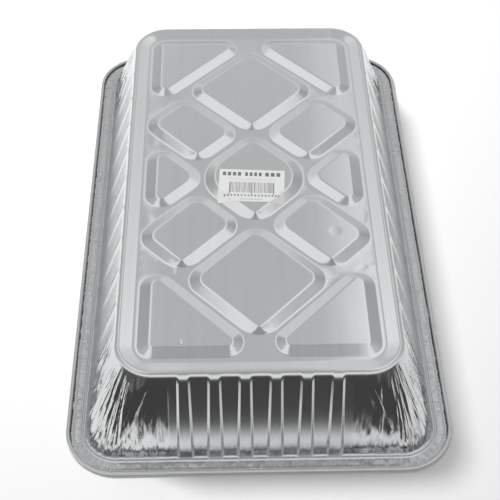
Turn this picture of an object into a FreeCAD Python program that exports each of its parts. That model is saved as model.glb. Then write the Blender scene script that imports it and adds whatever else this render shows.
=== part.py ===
import FreeCAD, Part

# Foil roasting pan of the full catering size, standing upside down on its rim, with the
# paper label that is stuck to its bottom. Millimetres, +Z up, Y along the pan's length.
# The origin is on the surface that the rim rests on, under the middle of the pan.
# Pan words are used as the pan stands here: the foot of a wall is at the rim, and the
# bottom is the top face, pressed into panels with narrow webs between them.

import os
from math import atan2, cos, pi, radians, sin, sqrt, tan

# Overall sizes
RIM_LENGTH = 527.0
RIM_WIDTH = 325.0
PAN_HEIGHT = 79.0
FOIL = 0.12

# Walls: their lean from upright, and the round edge where they turn into the bottom
WALL_LEAN = 20.0
EDGE_RADIUS = 4.5
EDGE_STEPS = 3
FOOT_CORNER = 28.0
CREST_CORNER = 29.0

# Pressed ribs of the walls, wider at the rim than at the bottom
LONG_RIBS = 9
LONG_RIB_PITCH = 36.6
SHORT_RIBS = 6
SHORT_RIB_PITCH = 24.6
RIB_DEPTH = 1.3
RIB_SIDE = 2.7
RIB_WIDTH_TOP = 11.0
RIB_WIDTH_FOOT = 14.0

# Pleats of the corners, where the flat sheet was gathered
PLEATS = 9
PLEAT_DEPTH = 1.1
PLEAT_TOP = 12.0
PLEAT_LEAST = 0.5
PLEAT_SWAY = 0.28
SWAY_STEP = 2.4
HEIGHT_STEP = 1.7
CORNER_STEP = 1.3

# Rim: gutter beside the wall, small bead, flat flange and rolled edge
FLANGE_WIDTH = 16.4
BEAD_PLACE = 2.9
BEAD_WIDTH = 2.2
BEAD_HEIGHT = 1.1
CURL_DIAMETER = 3.5
CURL_TURN = 280.0
CURL_STEPS = 8

# Pressed bottom: a crest all round, a slope down to the webs, and raised panels
CREST_LAND = 0.8
CHANNEL_WIDTH = 10.0
BORDER_WEB = 3.8
WEB_WIDTH = 3.2
CENTRE_WEB = 4.6
PRESS_DEPTH = 3.2
BEVEL_WIDTH = 9.8
DIAMOND_PLACE = 121.0
DIAMOND_HALF = 66.0
CENTRE_HALF = 61.0
SIDE_TIP = 41.5
MIDDLE_FAR = 180.0
CORNER_RADIUS = 19.0
SHARP_RADIUS = 16.0
OUTER_RADIUS = 13.0
CENTRE_SIDE_RADIUS = 37.4
LEAST_RADIUS = 0.3
ROUND_STEPS = 5

# Round dent in one panel
DENT_X = 70.0
DENT_Y = -69.0
DENT_RADIUS = 6.5
DENT_FLOOR = 2.0
DENT_DEPTH = 0.5

# Label
LABEL_LENGTH = 60.0
LABEL_WIDTH = 40.0
LABEL_THICKNESS = 0.1
LABEL_X = -2.5
LABEL_Y = -13.0
LABEL_TURN = -3.2

# How far a cutting form runs past the face that it cuts, and how flat a facet has to be
OVERRUN = 0.5
FLATNESS = 1e-5

LEAN = radians(WALL_LEAN)
EDGE_BOTTOM = PAN_HEIGHT - EDGE_RADIUS * (1 - sin(LEAN))
WALL_RUN = EDGE_BOTTOM * tan(LEAN)
FOOT_HALF_LENGTH = RIM_LENGTH / 2 - FLANGE_WIDTH
FOOT_HALF_WIDTH = RIM_WIDTH / 2 - FLANGE_WIDTH
CREST_INSET = WALL_RUN + EDGE_RADIUS * cos(LEAN)
CREST_HALF_LENGTH = FOOT_HALF_LENGTH - CREST_INSET
CREST_HALF_WIDTH = FOOT_HALF_WIDTH - CREST_INSET
WEB_LEVEL = PAN_HEIGHT - PRESS_DEPTH
DIAGONAL_WEB = WEB_WIDTH * sqrt(2)


def vector(x, y, z=0.0):
    """Point or direction."""
    return FreeCAD.Vector(x, y, z)


def facets(corners):
    """Faces of a four-cornered facet: one where it is flat, two where it is twisted."""
    a, b, c, d = corners
    normal = (b - a).cross(c - a)
    if abs(normal.dot(d - a)) > FLATNESS * normal.Length:
        return [Part.Face(Part.makePolygon([a, b, c, a])), Part.Face(Part.makePolygon([a, c, d, a]))]
    return [Part.Face(Part.makePolygon([a, b, c, d, a]))]


def stack(outlines):
    """Solid through outlines that lie above each other and have equally many corners."""
    count = len(outlines[0])
    faces = [Part.Face(Part.makePolygon(ends + [ends[0]])) for ends in (outlines[0], outlines[-1])]
    for low, high in zip(outlines, outlines[1:]):
        for k in range(count):
            after = (k + 1) % count
            faces += facets([low[k], low[after], high[after], high[k]])
    shell = Part.makeShell(faces)
    shell.sewShape()
    return Part.makeSolid(shell)


def rib_places(count, pitch):
    """Middles of a wall's ribs, measured along the wall from its own middle."""
    return [(k - (count - 1) / 2) * pitch for k in range(count)]


def side_points(places, rib_width, rib_depth):
    """Places along and out from one wall's plain line at which its ribs bend."""
    points = []
    for middle in places:
        half = rib_width / 2
        points += [(middle - half, 0.0), (middle - half + RIB_SIDE, rib_depth),
                   (middle + half - RIB_SIDE, rib_depth), (middle + half, 0.0)]
    return points


def pleat_points(pleat_depth, first_phase):
    """Angle within the quarter turn and distance outwards of each bend of a pleated corner."""
    steps = 2 * PLEATS
    points = [(0.0, 0.0)]
    for k in range(1, steps):
        sway = PLEAT_SWAY * sin(SWAY_STEP * k + first_phase)
        share = (1 + sin(HEIGHT_STEP * k + first_phase)) / 2
        rise = pleat_depth * (PLEAT_LEAST + (1 - PLEAT_LEAST) * share) if k % 2 else 0.0
        points.append(((k + sway) / steps * pi / 2, rise))
    points.append((pi / 2, 0.0))
    return points


def wall_outline(half_width, half_length, corner, height, rib_width, rib_depth, pleat_depth):
    """Closed outline of the four walls at one height."""
    points = []
    for quarter in range(4):
        turn = quarter * pi / 2
        outwards = vector(cos(turn), sin(turn))
        along = vector(-sin(turn), cos(turn))
        on_long_wall = quarter % 2 == 0
        reach, half_side = (half_width, half_length) if on_long_wall else (half_length, half_width)
        places = rib_places(LONG_RIBS, LONG_RIB_PITCH) if on_long_wall \
            else rib_places(SHORT_RIBS, SHORT_RIB_PITCH)
        for step, out in side_points(places, rib_width, rib_depth):
            points.append(outwards * (reach + out) + along * step)
        centre = outwards * (reach - corner) + along * (half_side - corner)
        for angle, out in pleat_points(pleat_depth, quarter * CORNER_STEP):
            points.append(centre + (outwards * cos(angle) + along * sin(angle)) * (corner + out))
    for point in points:
        point.z = height
    return points


def walls(depth, foot_level):
    """Solid inside the skin that lies a depth under the outer one, from a level up."""
    radius = EDGE_RADIUS - depth
    tangent_run = radius * cos(LEAN)
    tangent_level = PAN_HEIGHT - EDGE_RADIUS + radius * sin(LEAN)
    foot_corner = FOOT_CORNER - depth / cos(LEAN)

    def wall_section(level, pleat_share):
        share = level / tangent_level
        run = tangent_run + (tangent_level - level) * tan(LEAN)
        corner = foot_corner + (CREST_CORNER + tangent_run - foot_corner) * share
        width = RIB_WIDTH_FOOT + (RIB_WIDTH_TOP - RIB_WIDTH_FOOT) * share
        return wall_outline(CREST_HALF_WIDTH + run, CREST_HALF_LENGTH + run, corner, level,
                            width, RIB_DEPTH, PLEAT_DEPTH * pleat_share)

    sections = [wall_section(foot_level, 1.0), wall_section(PAN_HEIGHT - PLEAT_TOP, 1.0),
                wall_section(tangent_level, 0.0)]
    for step in range(1, EDGE_STEPS + 1):
        fade = 1 - step / EDGE_STEPS
        angle = pi / 2 - fade * (pi / 2 - LEAN)
        run = radius * cos(angle)
        level = PAN_HEIGHT - EDGE_RADIUS + radius * sin(angle)
        sections.append(wall_outline(CREST_HALF_WIDTH + run, CREST_HALF_LENGTH + run,
                                     CREST_CORNER + run, level, RIB_WIDTH_TOP, RIB_DEPTH * fade, 0.0))
    return stack(sections)


def rounded_outline(corners, radii, inset, height):
    """Points of a convex outline, given anticlockwise, with its sides moved in and corners rounded."""
    count = len(corners)
    ways = [(corners[(k + 1) % count] - corners[k]).normalize() for k in range(count)]
    points = []
    for k, (corner, radius) in enumerate(zip(corners, radii)):
        before, after = ways[k - 1], ways[k]
        inwards = vector(-before.y - after.y, before.x + after.x) * (1 / (1 + before.dot(after)))
        radius = max(radius - inset, LEAST_RADIUS)
        centre = corner + inwards * (inset + radius)
        start = atan2(-before.x, before.y)
        turn = before.getAngle(after)
        for step in range(ROUND_STEPS + 1):
            angle = start + turn * step / ROUND_STEPS
            points.append(centre + vector(cos(angle), sin(angle)) * radius)
    for point in points:
        point.z = height
    return points


def pressed_form(corners, radii):
    """Solid with the bevelled sides of a panel, run past the web and the top face."""
    slope = BEVEL_WIDTH / PRESS_DEPTH
    low = rounded_outline(corners, radii, -OVERRUN * slope, WEB_LEVEL - OVERRUN)
    high = rounded_outline(corners, radii, BEVEL_WIDTH + OVERRUN * slope, PAN_HEIGHT + OVERRUN)
    return stack([low, high])


def diamond(middle_y, half):
    """Corners of a square that stands on its point."""
    return [vector(half, middle_y), vector(0, middle_y + half), vector(-half, middle_y),
            vector(0, middle_y - half)]


def mirrored(corners, radii, flip_x, flip_y):
    """An outline and its radii in another quarter of the pan, still anticlockwise."""
    corners = [vector(-c.x if flip_x else c.x, -c.y if flip_y else c.y) for c in corners]
    if flip_x != flip_y:
        return corners[::-1], radii[::-1]
    return corners, radii


def panels():
    """Every raised panel of the bottom."""
    field_x = CREST_HALF_WIDTH - CREST_LAND - CHANNEL_WIDTH - BORDER_WEB
    field_y = CREST_HALF_LENGTH - CREST_LAND - CHANNEL_WIDTH - BORDER_WEB
    middle_near = CENTRE_HALF + CENTRE_WEB * sqrt(2)
    middle_side = SIDE_TIP - DIAGONAL_WEB
    middle_back = DIAMOND_PLACE - DIAMOND_HALF - DIAGONAL_WEB
    corner_sum = DIAMOND_PLACE + DIAMOND_HALF + DIAGONAL_WEB
    middle = [vector((middle_near + middle_side) / 2, (middle_near - middle_side) / 2),
              vector((MIDDLE_FAR + middle_side) / 2, (MIDDLE_FAR - middle_side) / 2),
              vector((MIDDLE_FAR - middle_back) / 2, (MIDDLE_FAR + middle_back) / 2),
              vector((middle_near - middle_back) / 2, (middle_near + middle_back) / 2)]
    middle_radii = [CORNER_RADIUS] * 4
    corner = [vector(field_x, corner_sum - field_x), vector(field_x, field_y),
              vector(corner_sum - field_y, field_y)]
    corner_radii = [SHARP_RADIUS, OUTER_RADIUS, SHARP_RADIUS]
    side = [vector(SIDE_TIP, 0), vector(field_x, SIDE_TIP - field_x), vector(field_x, field_x - SIDE_TIP)]
    side_radii = [CORNER_RADIUS, SHARP_RADIUS, SHARP_RADIUS]
    forms = [pressed_form(diamond(0, CENTRE_HALF),
                          [CENTRE_SIDE_RADIUS, CORNER_RADIUS, CENTRE_SIDE_RADIUS, CORNER_RADIUS])]
    for flip_x in (False, True):
        forms.append(pressed_form(*mirrored(side, side_radii, flip_x, False)))
        for flip_y in (False, True):
            forms.append(pressed_form(*mirrored(middle, middle_radii, flip_x, flip_y)))
            forms.append(pressed_form(*mirrored(corner, corner_radii, flip_x, flip_y)))
    for flip_y in (1, -1):
        forms.append(pressed_form(diamond(flip_y * DIAMOND_PLACE, DIAMOND_HALF), [CORNER_RADIUS] * 4))
    return forms


def sunk_form():
    """What the press takes away from the flat bottom: the webs, the slope round them and the dent."""
    half_x = CREST_HALF_WIDTH - CREST_LAND
    half_y = CREST_HALF_LENGTH - CREST_LAND
    corners = [vector(half_x, -half_y), vector(half_x, half_y), vector(-half_x, half_y),
               vector(-half_x, -half_y)]
    radii = [CREST_CORNER - CREST_LAND] * 4
    slope = CHANNEL_WIDTH / PRESS_DEPTH
    web = rounded_outline(corners, radii, CHANNEL_WIDTH, WEB_LEVEL)
    mouth = rounded_outline(corners, radii, -OVERRUN * slope, PAN_HEIGHT + OVERRUN)
    form = stack([web, mouth]).cut(panels())
    rise = OVERRUN * (DENT_RADIUS - DENT_FLOOR) / DENT_DEPTH
    dent = Part.makeCone(DENT_FLOOR, DENT_RADIUS + rise, DENT_DEPTH + OVERRUN,
                         vector(DENT_X, DENT_Y, PAN_HEIGHT - DENT_DEPTH))
    return form.fuse(dent)


def rim_section():
    """Closed section of the rim's sheet, with x outwards from the foot of the wall."""
    curl = CURL_DIAMETER / 2
    start = -FOIL / cos(LEAN) - OVERRUN
    flat = [(start, 0), (BEAD_PLACE - BEAD_WIDTH / 2, 0), (BEAD_PLACE - BEAD_WIDTH / 4, BEAD_HEIGHT),
            (BEAD_PLACE + BEAD_WIDTH / 4, BEAD_HEIGHT), (BEAD_PLACE + BEAD_WIDTH / 2, 0)]
    under = [vector(x, 0, z) for x, z in flat]
    over = [vector(x, 0, z + FOIL) for x, z in flat]
    for step in range(CURL_STEPS + 1):
        angle = radians(CURL_TURN * step / CURL_STEPS - 90)
        way = vector(cos(angle), 0, sin(angle))
        axis = vector(FLANGE_WIDTH - curl, 0, curl)
        under.append(axis + way * curl)
        over.append(axis + way * (curl - FOIL))
    return Part.Face(Part.makePolygon(under + over[::-1] + [under[0]]))


def rim():
    """Ring of the rim's section, carried along the straight sides and round the corners."""
    pieces = []
    for quarter in range(4):
        along_long_wall = quarter % 2 == 0
        reach, half_side = (FOOT_HALF_WIDTH, FOOT_HALF_LENGTH) if along_long_wall \
            else (FOOT_HALF_LENGTH, FOOT_HALF_WIDTH)
        straight = half_side - FOOT_CORNER
        section = rim_section()
        section.translate(vector(reach, straight))
        side = section.extrude(vector(0, -2 * straight))
        corner = section.revolve(vector(reach - FOOT_CORNER, straight), vector(0, 0, 1), 90)
        for piece in (side, corner):
            piece.rotate(vector(0, 0), vector(0, 0, 1), quarter * 90)
            pieces.append(piece)
    return pieces


def foil_pan():
    """The whole pan, pressed from one sheet."""
    sunk = sunk_form()
    outside = walls(0.0, 0.0).cut(sunk).fuse(rim())
    sunk.translate(vector(0, 0, -FOIL))
    inside = walls(FOIL, -OVERRUN).cut(sunk)
    return outside.cut(inside).removeSplitter()


def label():
    """The paper label, flat on the middle panel."""
    sheet = Part.makeBox(LABEL_LENGTH, LABEL_WIDTH, LABEL_THICKNESS,
                         vector(-LABEL_LENGTH / 2, -LABEL_WIDTH / 2))
    sheet.rotate(vector(0, 0), vector(0, 0, 1), LABEL_TURN)
    sheet.translate(vector(LABEL_X, LABEL_Y, PAN_HEIGHT))
    return sheet


os.makedirs("parts", exist_ok=True)
for name, shape in (("pan", foil_pan()), ("label", label())):
    solids = shape.Solids
    shape = solids[0] if len(solids) == 1 else Part.makeCompound(solids)
    print(name, "solids", len(solids), "valid", shape.isValid(), "volume", round(shape.Volume, 1),
          "faces", len(shape.Faces))
    shape.exportStep("parts/" + name + ".step")
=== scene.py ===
"""Foil roasting pan, upside down on a pale studio floor.

The pan is one pressed sheet: its plain form is worked out ring by ring, and a Geometry Nodes
tree presses the ribs, gathers the corners and wrinkles the rim. Everything is in metres.
"""

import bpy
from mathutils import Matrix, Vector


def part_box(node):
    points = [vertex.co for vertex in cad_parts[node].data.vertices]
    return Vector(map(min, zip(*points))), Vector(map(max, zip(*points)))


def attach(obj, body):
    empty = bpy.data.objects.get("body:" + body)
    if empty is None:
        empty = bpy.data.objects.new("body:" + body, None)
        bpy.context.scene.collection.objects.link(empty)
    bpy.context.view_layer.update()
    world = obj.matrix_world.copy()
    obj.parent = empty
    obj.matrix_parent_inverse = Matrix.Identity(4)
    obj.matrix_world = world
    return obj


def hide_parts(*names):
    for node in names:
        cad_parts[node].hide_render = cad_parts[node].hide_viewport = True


bl_info = {
    "name": "Foil roasting pan",
    "version": (1, 0, 0),
    "blender": (4, 5, 0),
    "location": "View3D > Sidebar > Roasting pan",
    "description": "Presses a deep foil roasting pan, sticks on its label and lights it in a studio",
    "category": "Add Mesh",
}

from collections import namedtuple
from math import atan, cos, exp, hypot, log, pi, radians, sin, sqrt, tan

import bpy
import numpy as np
from bpy.props import FloatProperty, FloatVectorProperty, IntProperty, PointerProperty
from mathutils import Vector
from mathutils.geometry import delaunay_2d_cdt

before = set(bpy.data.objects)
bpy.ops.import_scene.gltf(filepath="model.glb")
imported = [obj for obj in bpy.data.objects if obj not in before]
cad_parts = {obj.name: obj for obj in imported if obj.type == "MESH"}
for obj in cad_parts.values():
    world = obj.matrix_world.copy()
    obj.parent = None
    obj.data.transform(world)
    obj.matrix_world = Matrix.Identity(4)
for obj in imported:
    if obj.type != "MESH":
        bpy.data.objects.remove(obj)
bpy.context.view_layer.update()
PAN_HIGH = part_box("pan")[1]
LABEL_LOW, LABEL_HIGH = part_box("label")

# Form of the sheet that the press gives, as in the CAD part
WALL_LEAN = radians(20)
EDGE_RADIUS = 0.0045
FOOT_CORNER = 0.028
CREST_CORNER = 0.029
FLANGE_WIDTH = 0.0164
BEAD_PLACE = 0.0029
BEAD_WIDTH = 0.0022
BEAD_HEIGHT = 0.0011
CREST_LAND = 0.0008
CHANNEL_WIDTH = 0.010
BORDER_WEB = 0.0038
WEB_WIDTH = 0.0032
CENTRE_WEB = 0.0046
DIAMOND_PLACE = 0.121
DIAMOND_HALF = 0.066
CENTRE_HALF = 0.061
SIDE_TIP = 0.0415
MIDDLE_FAR = 0.180

# Radii of a panel's corners: its outline, and the radius whose inset is the raised part's outline
ROUND_TIP = (0.019, 0.019)
NEAR_TIP = (0.0205, 0.0120)
SHARP_TIP = (0.0155, 0.0145)
OUTER_TIP = (0.013, 0.013)
CENTRE_SIDE_TIP = (0.0374, 0.0374)

# Ribs of a long and a short wall, and how deep the long walls' ribs are beside the short ones'
LONG_RIBS = 9
SHORT_RIBS = 6
LONG_RIB_SHARE = 0.4

# Rings of the sheet: degrees round the curl, run and rise on the flange, half widths and share
# of the height over the bead, the gutter's run, rise and shares of ribs, gathers and wrinkles,
# heights up the wall, and the ribs' share over the rounded edge
CURL_ANGLES = (190, 143, 97, 50, 3, -43, -90)
FLANGE_RIDGE = 0.00030
FLANGE_RINGS = ((0.0132, 0), (0.0120, 0), (0.0113, FLANGE_RIDGE), (0.0106, 0), (0.0087, 0),
                (0.0066, 0), (0.0046, 0))
BEAD_RINGS = ((1.0, 0), (0.5, 0.8), (0, 1.0), (-0.5, 0.8), (-1.0, 0))
GUTTER_RINGS = ((0.0010, 0, 0.35, 0.15, 0.4), (0.0003, 0.0002, 0.8, 0.3, 0.3))
WALL_HEIGHTS = (0.0016, 0.0045, 0.008, 0.012, 0.0165, 0.0215, 0.027, 0.033, 0.039, 0.045,
                0.051, 0.057, 0.0625, 0.067, 0.071, 0.0745)
EDGE_RIB_SHARES = (0.70, 0.38, 0.15, 0.04, 0.0)

# How much of the wrinkles' depth the curl, the flange and the bead have
CURL_WRINKLES = 0.4
FLANGE_WRINKLES = 1.0
BEAD_WRINKLES = 0.5

# Gathers: their share at the foot and the height they grow over, the height they end at and
# the height they fade over, and their share beside the outermost ribs
FOOT_GATHER = 0.45
GATHER_GROWTH = 0.015
GATHER_END = 0.0755
GATHER_FADE = 0.012
RIB_GATHER = 0.50

# How the folds are drawn out along the sheet's profile, and how they wander from it
LONG_FOLD_STRETCH = 11.0
SHORT_FOLD_STRETCH = 9.0
WRINKLE_STRETCH = 4.0
WANDER_SCALE = 45.0
WANDER_REACH = (2.0, 2.0, 0.6)

# Mesh: steps round a corner and along the plain ends of the long and the short walls, places
# beside a rib, and spacings and clearances of the bottom's points
CORNER_STEPS = 54
END_STEPS = (26, 24)
BEND_STEP = 0.0005
LAND_STEP = 0.0045
CREST_ROUNDING = 0.0007
PANEL_ROUNDING = 0.0008
PANEL_BEND = 0.0013
PANEL_LAND = 0.0018
OUTLINE_SPACING = 0.0028
SMALLEST_RADIUS = 0.0003
GRID_SPACING = 0.0070
GRID_CLEARANCE = 0.0022
BORDER_CLEARANCE = 0.0014
DENT_SPACING = 0.0009
DENT_SPACING_SHARE = 0.16
DENT_CLEARANCE = 0.0005
DENT_REACH = 1.3

# Longer than the way from the rolled edge to the bottom along the sheet
PROFILE_REACH = 0.3

# Label: its sheet and its place on the middle panel
LABEL_LENGTH = 0.060
LABEL_WIDTH = 0.040
LABEL_X = -0.0025
LABEL_Y = -0.0130
LABEL_TURN = radians(-3.2)
LABEL_BEND = 0.0015
LABEL_CELLS = (60, 40)

# The label's print in millimetres from its middle: rows of blocks as low, high, pitch, filled
# share, left, right and ink, then the bars and the longer lines between them
PRINT_ROWS = [
    (12.0, 16.8, 4.6, 0.68, -27.0, -9.5, 1.0),
    (12.0, 16.8, 4.2, 0.66, -6.5, 9.0, 1.0),
    (12.0, 16.8, 5.2, 0.70, 12.0, 27.5, 1.0),
    (-13.6, -11.2, 3.1, 0.55, -25.0, 25.5, 0.8),
    (7.6, 8.3, 1.9, 0.7, -21.0, 22.0, 0.45),
    (5.9, 6.4, 1.6, 0.7, -16.0, 18.0, 0.3),
    (-17.6, -16.4, 1.7, 0.6, -10.0, 10.5, 0.6),
]
PRINT_EDGE = 0.08
BAR_PITCH = 1.16
BAR_INK = 0.85
BAR_FIELD = (-19.5, 20.0, -9.0, 4.0)
LONG_LINES = ((-20.3, -19.6), (20.0, 20.7), (-0.2, 0.5))
LONG_LINE_FOOT = -11.5

# Studio: the floor, how far off its glow starts and is full, and the tent
FLOOR_REACH = 4.0
FLOOR_LEVEL = -0.0002
FLOOR_GLOW = 0.10
FAR_GLOW = 0.9
FAR_START, FAR_FULL = 0.5, 2.5
WORLD_LIGHT = 0.20
TENT_RADIUS = 2.1
TENT_ROWS, TENT_COLUMNS = 24, 64

# Camera, as in the photo
CAMERA_PLACE = (-0.02613, -0.67783, 0.77015)
CAMERA_TURN = (radians(40.3825), radians(-0.5604), radians(-1.3315))
CAMERA_LENS, CAMERA_SENSOR = 75.443, 36.0

# How bright the tent is from front to back, as the height over the floor sees it: in the two
# softboxes, between them, and outside them. Each pair is a place, back over height, and a light
BOX_LIGHT = [(-4.2, 0.18), (-2.9, 0.75), (-1.9, 0.92), (-1.5, 1.10), (-0.5, 1.0), (-0.1, 0.93),
             (0.60, 0.96), (0.85, 0.83), (1.2, 0.76), (2.8, 0.74), (4.5, 0.62)]
MIDDLE_LIGHT = [(-4.2, 0.15), (-2.9, 0.70), (-1.9, 0.85), (-1.2, 0.95), (-0.7, 0.80), (-0.42, 0.36),
                (-0.28, 0.36), (-0.12, 0.47), (0.0, 0.42), (0.40, 0.58), (0.85, 0.57), (1.5, 0.64),
                (2.1, 0.72), (4.0, 0.62)]
SIDE_LIGHT = [(-4.2, 0.18), (-2.9, 0.72), (-1.9, 0.88), (-1.5, 1.00), (-0.5, 0.70), (0.40, 0.54),
              (0.95, 0.44), (1.6, 0.55), (2.7, 0.60), (4.0, 0.62)]

# Where the softboxes start and end across, over the height, and how they widen: the place back
# over height from which each edge leaves its line, and by how much
BOX_INNER, INNER_WIDENING = (0.14, 0.21), (-0.14, 3.5)
BOX_OUTER, OUTER_WIDENING = (0.43, 0.50), (0.3, 0.22)

# Where the mirrored floor ends in front, and how bright the room beyond it is
FLOOR_FRONT = -0.338
FLOOR_FADE = 0.055
ROOM_LIGHT = 0.06

# The mirrored floor beside the pan, painted darker as painted shade that only the foil sees:
# where it starts across and back, and its share of the floor's colour at the left and at the right
BESIDE_ACROSS = (0.12, 0.16)
BESIDE_BACK = (-0.25, -0.17)
PAINTED_SHADE_LEFT, PAINTED_SHADE_RIGHT = 0.88, 0.94

# Soft lamps for the paper and the floor: name, place, size, and their share of a plain level
LAMPS = [
    ("key_lamp", (-0.97, 0.89, 1.60), 0.42, 0.60),
    ("back_lamp", (0.00, 0.75, 1.50), 1.00, 0.20),
]

# Small dents of the bottom: place, half lengths, turn in degrees and depth
DENTS = [
    (0.0700, -0.0690, 0.0046, 0.0046, 0, 0.00012),
    (-0.0740, -0.1090, 0.0040, 0.0060, 20, 0.00015),
    (-0.0640, -0.1870, 0.0006, 0.0045, 10, 0.00015),
    (-0.0950, -0.0560, 0.0050, 0.0120, 8, 0.00018),
    (0.0960, -0.0500, 0.0040, 0.0100, -8, 0.00015),
    (-0.0930, 0.0560, 0.0050, 0.0110, -8, 0.00015),
    (0.0950, 0.0600, 0.0050, 0.0110, 6, 0.00015),
    (0.1010, -0.1150, 0.0035, 0.0060, 0, 0.00015),
    (0.0900, -0.1090, 0.0050, 0.0030, 30, 0.00012),
]

Ring = namedtuple("Ring", "run height rib pleat rim")
Station = namedtuple("Station", "quarter fixed rib_share end_share angle")


class PanSizes(bpy.types.PropertyGroup):
    """Sizes of the foil sheet that a user would change."""

    foil: FloatProperty(name="Foil", description="Thickness of the sheet", default=0.00012,
                        subtype="DISTANCE", precision=6)
    press_depth: FloatProperty(name="Press depth", description="How far the webs lie under the panels",
                               default=0.0032, subtype="DISTANCE")
    bevel_width: FloatProperty(name="Bevel width", description="Width of a panel's sloping side",
                               default=0.0098, subtype="DISTANCE")
    curl_diameter: FloatProperty(name="Curl", description="Diameter of the rolled edge",
                                 default=0.0035, subtype="DISTANCE")
    rib_depth: FloatProperty(name="Rib depth", description="How far a wall's ribs stand out",
                             default=0.0015, subtype="DISTANCE")
    long_side: FloatProperty(name="Long rib side", description="Width of a rib's sloping side, long walls",
                             default=0.0050, subtype="DISTANCE")
    short_side: FloatProperty(name="Short rib side",
                              description="Width of a rib's sloping side, short walls",
                              default=0.0021, subtype="DISTANCE")
    rib_top: FloatProperty(name="Rib width, top", description="Width of a rib near the bottom of the pan",
                           default=0.011, subtype="DISTANCE")
    rib_foot: FloatProperty(name="Rib width, foot", description="Width of a rib at the rim",
                            default=0.014, subtype="DISTANCE")
    long_pitch: FloatProperty(name="Long wall pitch", description="From rib to rib on a long wall",
                              default=0.0366, subtype="DISTANCE")
    short_pitch: FloatProperty(name="Short wall pitch", description="From rib to rib on a short wall",
                               default=0.0246, subtype="DISTANCE")


class CrinkleSizes(bpy.types.PropertyGroup):
    """How the foil is gathered and wrinkled."""

    pleat_depth: FloatProperty(name="Pleat depth", description="Depth of the gathers of a corner",
                               default=0.0019, subtype="DISTANCE")
    pleat_spacing: FloatProperty(name="Pleat spacing", description="From gather to gather",
                                 default=0.0050, subtype="DISTANCE")
    rim_depth: FloatProperty(name="Rim wrinkle depth", description="Depth of the flange's small wrinkles",
                             default=0.00030, subtype="DISTANCE")
    rim_spacing: FloatProperty(name="Rim wrinkle spacing", description="From wrinkle to wrinkle",
                               default=0.0036, subtype="DISTANCE")
    ripple_depth: FloatProperty(name="Ripple depth", description="Slow unevenness of the flat foil",
                                default=0.00004, subtype="DISTANCE", precision=5)
    ripple_size: FloatProperty(name="Ripple size", description="Width of one ripple",
                               default=0.045, subtype="DISTANCE")
    seed: IntProperty(name="Seed", description="Chooses one set of wrinkles", default=7)


class Finishes(bpy.types.PropertyGroup):
    """Colours of the foil, the label and the studio."""

    foil_colour: FloatVectorProperty(name="Foil", description="Colour of the bare foil", size=3,
                                     subtype="COLOR", default=(0.74, 0.75, 0.76))
    foil_roughness: FloatProperty(name="Foil roughness", description="How satin the foil is",
                                  default=0.10, subtype="FACTOR")
    paper_colour: FloatVectorProperty(name="Paper", description="Colour of the label's paper", size=3,
                                      subtype="COLOR", default=(0.74, 0.745, 0.745))
    print_colour: FloatVectorProperty(name="Print", description="Colour of the label's print", size=3,
                                      subtype="COLOR", default=(0.055, 0.055, 0.06))
    floor_colour: FloatVectorProperty(name="Floor", description="Colour of the studio floor", size=3,
                                      subtype="COLOR", default=(0.95, 0.95, 0.95))
    tent_light: FloatProperty(name="Tent light", description="Brightness of the tent that the foil mirrors",
                              default=1.0)
    lamp_light: FloatProperty(name="Lamp light", description="Brightness of the lamps for paper and floor",
                              default=1.0)


class Field:
    """A value in a node tree, so that sums of values make their own Math nodes."""

    def __init__(self, tree, socket):
        self.tree = tree
        self.socket = socket

    def __add__(self, other):
        return maths(self.tree, "ADD", self, other)

    __radd__ = __add__

    def __mul__(self, other):
        return maths(self.tree, "MULTIPLY", self, other)

    __rmul__ = __mul__

    def __sub__(self, other):
        return maths(self.tree, "SUBTRACT", self, other)

    def __rsub__(self, other):
        return maths(self.tree, "SUBTRACT", other, self)

    def __truediv__(self, other):
        return maths(self.tree, "DIVIDE", self, other)

    def __rtruediv__(self, other):
        return maths(self.tree, "DIVIDE", other, self)


def node(tree, kind, settings, values, output=0):
    """Adds one node: its settings first, then its sockets' values or links, by place or by name."""
    made = tree.nodes.new(kind)
    for name, value in settings.items():
        if name == "stops":
            ramp = made.color_ramp
            while len(ramp.elements) < len(value):
                ramp.elements.new(0.5)
            for element, (place, colour) in zip(ramp.elements, value):
                element.position = place
                element.color = colour
        else:
            setattr(made, name, value)
    for place, value in values.items():
        if isinstance(value, Field):
            tree.links.new(value.socket, made.inputs[place])
        else:
            made.inputs[place].default_value = value
    return Field(tree, made.outputs[output])


def maths(tree, operation, *terms):
    """One Math node."""
    return node(tree, "ShaderNodeMath", {"operation": operation}, dict(enumerate(terms)))


def vector_maths(tree, operation, *terms, output=0):
    """One Vector Math node."""
    return node(tree, "ShaderNodeVectorMath", {"operation": operation}, dict(enumerate(terms)), output)


def ramp_to(tree, value, low, high, smooth=False):
    """0 where the value is at low, 1 at high, and held outside."""
    kind = "SMOOTHSTEP" if smooth else "LINEAR"
    return node(tree, "ShaderNodeMapRange", {"interpolation_type": kind, "clamp": True},
                {"Value": value, "From Min": low, "From Max": high})


def mixed(tree, share, first, second):
    """Colour between two colours."""
    return node(tree, "ShaderNodeMix", {"data_type": "RGBA"}, {0: share, 6: first, 7: second}, 2)


def noise(tree, place, scale, detail=2.0, seed=0.0, roughness=0.5, output=0):
    """Noise round 0.5."""
    return node(tree, "ShaderNodeTexNoise", {"noise_dimensions": "4D"},
                {"Vector": place, "W": seed, "Scale": scale, "Detail": detail, "Roughness": roughness},
                output)


def edge_ways(corners):
    """Directions of an outline's edges, each from its corner to the next."""
    ways = np.roll(corners, -1, 0) - corners
    return ways / np.linalg.norm(ways, axis=1)[:, None]


def way_inwards(before, after):
    """From a corner to the middle of its rounding, for a radius of 1."""
    return np.array([-before[1] - after[1], before[0] + after[0]]) / (1 + before @ after)


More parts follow.
